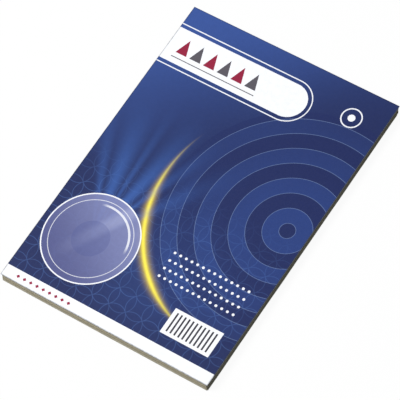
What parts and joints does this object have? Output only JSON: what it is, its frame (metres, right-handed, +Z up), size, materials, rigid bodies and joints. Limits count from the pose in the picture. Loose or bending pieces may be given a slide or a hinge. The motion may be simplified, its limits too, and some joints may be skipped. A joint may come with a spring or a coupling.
{
  "type": "pack of mailing envelopes",
  "caption": "Flat retail pack of brown kraft mailing pockets stacked with a very slight lean under one loose printed cover sheet with a plain geometric design.",
  "frame": {"origin": "middle of the rectangular footprint, at the height of the surface that the pack lies on", "axes": "+Y along the long side, towards the pockets' mouths and the top of the cover; +X along the short side; +Z up, through the stack to the cover"},
  "size_m": [0.162, 0.23, 0.0065],
  "materials": {
    "cover_print": "satin",
    "kraft_paper": "matte"
  },
  "bodies": {
    "root": {"cover_sheet": "cover_print", "envelope_01": "kraft_paper", "envelope_02": "kraft_paper", "envelope_03": "kraft_paper", "envelope_04": "kraft_paper", "envelope_05": "kraft_paper", "envelope_06": "kraft_paper", "envelope_07": "kraft_paper", "envelope_08": "kraft_paper", "envelope_09": "kraft_paper", "envelope_10": "kraft_paper"}
  },
  "joints": []
}
